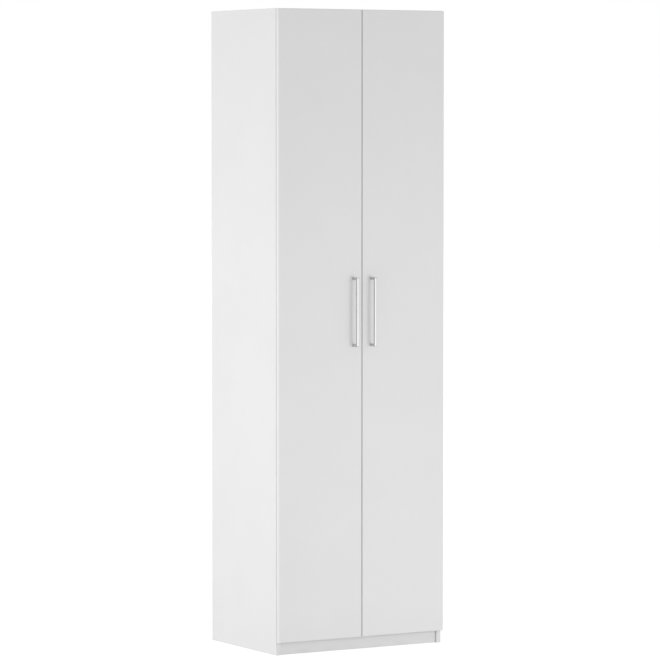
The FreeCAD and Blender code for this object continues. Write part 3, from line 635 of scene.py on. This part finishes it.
# Finishes that several materials share
def melamine_group():
    """Coated board: a faint tone drift, a fine pearl and a slightly uneven gloss."""
    tree, given, result = new_group("melamine_skin", {"Colour": COLOUR}, SKIN)
    points = object_points(tree)
    shade = shaded(tree, given["Colour"], COAT_SHADE)
    drift = grain(tree, points, COAT_DRIFT)
    join(tree, mottled(tree, drift, COAT_DRIFT, shade, given["Colour"]), result["Colour"])
    gloss = grain(tree, points, COAT_GLOSS)
    join(tree, mapped(tree, gloss, COAT_ROUGHNESS), result["Roughness"])
    pearl = calc(tree, "MULTIPLY", grain(tree, points, COAT_PEARL), PEARL_SHARE)
    join(tree, calc(tree, "ADD", pearl, grain(tree, points, COAT_PEEL)), result["Height"])
    return tree


def chipboard_group():
    """Sawn edge of the board: pressed wood chips between finer dust."""
    tree, _, result = new_group("chipboard_core", {}, {"Colour": COLOUR, "Height": NUMBER})
    points = object_points(tree)
    wander = noise(tree, points, CHIP_WANDER)["Color"]
    moved = tree.nodes.new("ShaderNodeVectorMath")
    moved.operation = "MULTIPLY_ADD"
    for value, socket in zip((wander, [WANDER_REACH] * 3, points), moved.inputs):
        join(tree, value, socket)
    chips = add(tree, "ShaderNodeTexVoronoi", Vector=moved.outputs[0], Scale=CHIP_SCALE)
    tone = add(tree, "ShaderNodeSeparateColor", Color=chips.outputs["Color"]).outputs[0]
    dust = grain(tree, points, CHIP_DUST)
    wood = mixed(tree, tone, CHIP_DARK, CHIP_PALE)
    join(tree, mottled(tree, dust, CHIP_DUST, wood, DUST_DARK), result["Colour"])
    join(tree, calc(tree, "ADD", tone, dust), result["Height"])
    return tree


def metal_group():
    """Metal with fine drawn lines: uneven gloss, tone and height along a stretch."""
    inputs = {"Stretch": VECTOR, "Lines": NUMBER, "Colour": COLOUR,
              "Gloss low": NUMBER, "Gloss high": NUMBER}
    tree, given, result = new_group("metal_grain", inputs, SKIN)
    points = object_points(tree)
    along = add(tree, "ShaderNodeMapping", Vector=points, Scale=given["Stretch"]).outputs[0]
    lines = grain(tree, along, Pattern(given["Lines"], LINE_DETAIL, LINE_ROUGHNESS))
    cloud = grain(tree, points, METAL_CLOUD)
    mean = calc(tree, "MULTIPLY", calc(tree, "ADD", lines, cloud), 0.5)
    shade = shaded(tree, given["Colour"], METAL_SHADE)
    light = mapped(tree, mean, (0.0, 1.0), METAL_BAND)
    join(tree, mixed(tree, light, shade, given["Colour"]), result["Colour"])
    gloss = mapped(tree, mean, (given["Gloss low"], given["Gloss high"]), METAL_BAND)
    join(tree, gloss, result["Roughness"])
    join(tree, lines, result["Height"])
    return tree


def seam_group():
    """The hairline where a glued edge band meets the board's face, from the distance to the board's edge."""
    inputs = {"Distance": NUMBER, "Band": NUMBER, "Colour": COLOUR}
    tree, given, result = new_group("edge_band_seam", inputs, {"Colour": COLOUR})
    off = calc(tree, "ABSOLUTE", calc(tree, "SUBTRACT", given["Distance"], given["Band"]))
    line = mapped(tree, off, (SEAM_STRENGTH, 0.0), (0.0, SEAM_HALF_WIDTH))
    shade = shaded(tree, given["Colour"], SEAM_TONE)
    join(tree, mixed(tree, line, given["Colour"], shade), result["Colour"])
    return tree


melamine = melamine_group()
chipboard = chipboard_group()
metal_grain = metal_group()
edge_seam = seam_group()


# Materials
def board_material(name, coated, banded, front):
    """Board with coated faces across one axis, a band on each edge that faces an (axis, sign), else sawn."""
    material, tree, surface = new_material(name)
    coord = tree.nodes.new("ShaderNodeTexCoord").outputs
    facing = split(tree, coord["Normal"])
    covered = calc(tree, "GREATER_THAN", calc(tree, "ABSOLUTE", facing[coated]), BROAD_FACE)
    for axis, sign in banded:
        band = calc(tree, "GREATER_THAN", calc(tree, "MULTIPLY", facing[axis], sign), BANDED_FACE)
        covered = calc(tree, "MAXIMUM", covered, band)
    skin = use_group(tree, melamine, Colour=WHITE_COAT)
    core = use_group(tree, chipboard)
    from_front = calc(tree, "SUBTRACT", split(tree, coord["Object"])[Y], front)
    lined = use_group(tree, edge_seam, Colour=skin["Colour"], Distance=from_front, Band=BOARD_BAND)
    bare = calc(tree, "SUBTRACT", 1.0, covered)
    sawn = raised(tree, calc(tree, "MULTIPLY", core["Height"], bare), CHIP_HEIGHT)
    colour = mixed(tree, covered, core["Colour"], lined["Colour"])
    roughness = mapped(tree, covered, (SAWN_ROUGHNESS, skin["Roughness"]))
    relief = raised(tree, skin["Height"], COAT_HEIGHT, Normal=sawn)
    finish_surface(tree, surface, colour, roughness, relief)
    return material


def plain_board_material():
    """Board that is coated all round, as on the plinth."""
    material, tree, surface = new_material("white_plinth_board")
    skin = use_group(tree, melamine, Colour=WHITE_COAT)
    relief = raised(tree, skin["Height"], COAT_HEIGHT)
    finish_surface(tree, surface, skin["Colour"], skin["Roughness"], relief)
    return material


def door_material():
    """Door board with an edge band all round; both doors are the same distance from the middle."""
    material, tree, surface = new_material("white_door_board")
    skin = use_group(tree, melamine, Colour=WHITE_COAT)
    low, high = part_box("right_door")
    spot = split(tree, object_points(tree))
    across = calc(tree, "ABSOLUTE", spot[X])
    nearest = calc(tree, "SUBTRACT", across, low.x)
    for far, close in ((high.x, across), (spot[Z], low.z), (high.z, spot[Z])):
        nearest = calc(tree, "MINIMUM", nearest, calc(tree, "SUBTRACT", far, close))
    lined = use_group(tree, edge_seam, Colour=skin["Colour"], Distance=nearest, Band=DOOR_BAND)
    relief = raised(tree, skin["Height"], COAT_HEIGHT)
    finish_surface(tree, surface, lined["Colour"], skin["Roughness"], relief)
    return material


def back_material():
    """Thin fibreboard: white towards the inside, bare brown fibre at the back."""
    material, tree, surface = new_material("fibreboard_back")
    coord = tree.nodes.new("ShaderNodeTexCoord").outputs
    bare = calc(tree, "GREATER_THAN", split(tree, coord["Normal"])[Y], -BROAD_FACE)
    fibres = grain(tree, coord["Object"], FIBRES)
    blotches = grain(tree, coord["Object"], FIBRE_BLOTCHES)
    brown = mottled(tree, fibres, FIBRES, FIBRE_DARK, FIBRE_PALE)
    brown = mottled(tree, blotches, FIBRE_BLOTCHES, brown, BLOTCH_BROWN)
    skin = use_group(tree, melamine, Colour=WHITE_COAT)
    colour = mixed(tree, bare, skin["Colour"], brown)
    roughness = mapped(tree, bare, (skin["Roughness"], FIBRE_ROUGHNESS))
    relief = raised(tree, calc(tree, "MULTIPLY", fibres, bare), FIBRE_HEIGHT)
    finish_surface(tree, surface, colour, roughness, relief)
    return material


def beech_material():
    """Beech with its rings and short dark flecks along the dowel."""
    material, tree, surface = new_material("beech")
    points = object_points(tree)
    rings = grain(tree, points, BEECH_RINGS)
    flecks = grain(tree, points, BEECH_FLECKS)
    wood = mottled(tree, rings, BEECH_RINGS, BEECH_DARK, BEECH_PALE)
    colour = mottled(tree, flecks, BEECH_FLECKS, wood, FLECK_BROWN)
    relief = raised(tree, flecks, BEECH_HEIGHT)
    finish_surface(tree, surface, colour, BEECH_ROUGHNESS, relief)
    return material


def metal_material(name, colour, stretch, lines, gloss, height):
    """A metal finish from the shared grain, with its own colour, line direction and gloss."""
    material, tree, surface = new_material(name)
    skin = use_group(tree, metal_grain, Colour=colour, Stretch=stretch, Lines=lines,
                     Gloss_low=gloss[0], Gloss_high=gloss[1])
    surface["Metallic"].default_value = 1.0
    relief = raised(tree, skin["Height"], height)
    finish_surface(tree, surface, skin["Colour"], skin["Roughness"], relief)
    return material


def pad_material():
    """Clear soft plastic, a little cloudy."""
    material, tree, surface = new_material("clear_soft_pad")
    cloud = grain(tree, object_points(tree), PAD_CLOUD)
    join(tree, mixed(tree, cloud, PAD_CLOUDY, PAD_CLEAR), surface["Base Color"])
    join(tree, mapped(tree, cloud, PAD_ROUGHNESS), surface["Roughness"])
    surface["Transmission Weight"].default_value = PAD_TRANSMISSION
    surface["IOR"].default_value = PAD_IOR
    return material


# Dressing the cupboard
def paint(piece, material):
    piece.data.materials.clear()
    piece.data.materials.append(material)


def nodes_with(*words):
    """The names of the CAD nodes that hold one of the words."""
    return [name for name in nodes if any(word in name for word in words)]


def paint_cupboard():
    """Gives the CAD nodes that stay in view their materials."""
    carcass_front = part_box("left_side_panel")[0].y
    shelf_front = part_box("shelf_1")[0].y
    upright = board_material("white_upright_board", X, [FRONT_EDGE, TOP_EDGE], carcass_front)
    flat = board_material("white_flat_board", Z, [FRONT_EDGE], carcass_front)
    shelf = board_material("white_shelf_board", Z, [FRONT_EDGE], shelf_front)
    steel = metal_material("nickel_steel", **NICKEL_STEEL)
    zinc = metal_material("cast_zinc", **CAST_ZINC)
    finishes = (
        (upright, nodes_with("side_panel", "divider")),
        (flat, nodes_with("top_panel", "bottom_panel", "hat_shelf")),
        (shelf, [name for name in nodes_with("shelf_") if name != "shelf_pins"]),
        (door_material(), nodes_with("_door")),
        (plain_board_material(), nodes_with("plinth", "rear_rail")),
        (back_material(), nodes_with("back_panel")),
        (beech_material(), nodes_with("dowels")),
        (steel, nodes_with("hinge_cup", "hinge_arm", "links", "pins", "cam_bolts", "wall_brackets")),
        (zinc, nodes_with("hinge_plates", "cam_locks")),
    )
    for material, names in finishes:
        for name in names:
            paint(nodes[name], material)


def dress_new_pieces():
    """Makes the handles, pads and screws, and gives them their materials."""
    satin = metal_material("satin_handle", **SATIN_HANDLE)
    plated = metal_material("zinc_plated_screw", **PLATED_SCREW)
    pad = pad_material()
    for side in SIDES:
        paint(bow_handle(side), satin)
        paint(door_pads(side), pad)
    for node in SCREWS:
        paint(screws(node), plated)


# Floor, world, lamps and camera
def show_background(tree, lighting, seen, output_kind):
    """Shows one shader to the rays that see the background, and lights the object with the other."""
    path = tree.nodes.new("ShaderNodeLightPath").outputs
    shiny = calc(tree, "MAXIMUM", path["Is Glossy Ray"], path["Is Transmission Ray"])
    choice = tree.nodes.new("ShaderNodeMixShader")
    output = tree.nodes.new(output_kind)
    tree.links.new(calc(tree, "MAXIMUM", path["Is Camera Ray"], shiny), choice.inputs[0])
    tree.links.new(lighting.outputs[0], choice.inputs[1])
    tree.links.new(seen.outputs[0], choice.inputs[2])
    tree.links.new(choice.outputs[0], output.inputs[0])


def pale_floor():
    """A floor that is seen as white with the object's shadow, and lights the object as pale grey."""
    bpy.ops.object.select_all(action="DESELECT")
    bpy.ops.mesh.primitive_plane_add(size=FLOOR_SIZE, location=(0, 0, -FLOOR_DROP))
    floor = bpy.context.object
    floor.name = "floor"
    material = bpy.data.materials.new("pale_floor")
    tree = empty_tree(material)
    matt = add(tree, "ShaderNodeBsdfDiffuse", Color=FLOOR_MATT)
    soft = add(tree, "ShaderNodeBsdfDiffuse", Color=FLOOR_SHADED)
    glow = add(tree, "ShaderNodeEmission", Color=WHITE, Strength=FLOOR_GLOW)
    white = tree.nodes.new("ShaderNodeAddShader")
    tree.links.new(soft.outputs[0], white.inputs[0])
    tree.links.new(glow.outputs[0], white.inputs[1])
    show_background(tree, matt, white, "ShaderNodeOutputMaterial")
    paint(floor, material)


def white_world():
    """A world that is seen as white and gives an even light."""
    world = bpy.data.worlds.new("studio")
    bpy.context.scene.world = world
    tree = empty_tree(world)
    light = add(tree, "ShaderNodeBackground", Color=WHITE, Strength=AMBIENT)
    white = add(tree, "ShaderNodeBackground", Color=WHITE, Strength=1.0)
    show_background(tree, light, white, "ShaderNodeOutputWorld")


def soft_lamp(name, at, aim, size, power, spread):
    """A rectangular lamp at a place, turned to what it lights."""
    bpy.ops.object.light_add(type="AREA", location=at)
    lamp = bpy.context.object
    lamp.name = name
    lamp.data.shape = "RECTANGLE"
    lamp.data.size, lamp.data.size_y = size
    lamp.data.energy = power
    lamp.data.spread = math.radians(spread)
    lamp.rotation_mode = "QUATERNION"
    lamp.rotation_quaternion = (Vector(aim) - Vector(at)).to_track_quat("-Z", "Y")


def photo_camera():
    """The camera at the photograph's angle."""
    bpy.ops.object.camera_add(location=CAMERA_PLACE)
    camera = bpy.context.object
    camera.rotation_euler = (math.radians(90 - CAMERA_PITCH), 0, math.radians(-CAMERA_YAW))
    camera.data.lens = CAMERA_LENS
    camera.data.sensor_width = SENSOR_WIDTH
    bpy.context.scene.camera = camera


paint_cupboard()
dress_new_pieces()
pale_floor()
white_world()
soft_lamp("side_lamp", **SIDE_LAMP)
soft_lamp("front_lamp", **FRONT_LAMP)
soft_lamp("low_lamp", **LOW_LAMP)
photo_camera()
bpy.context.scene.view_settings.view_transform = "Standard"
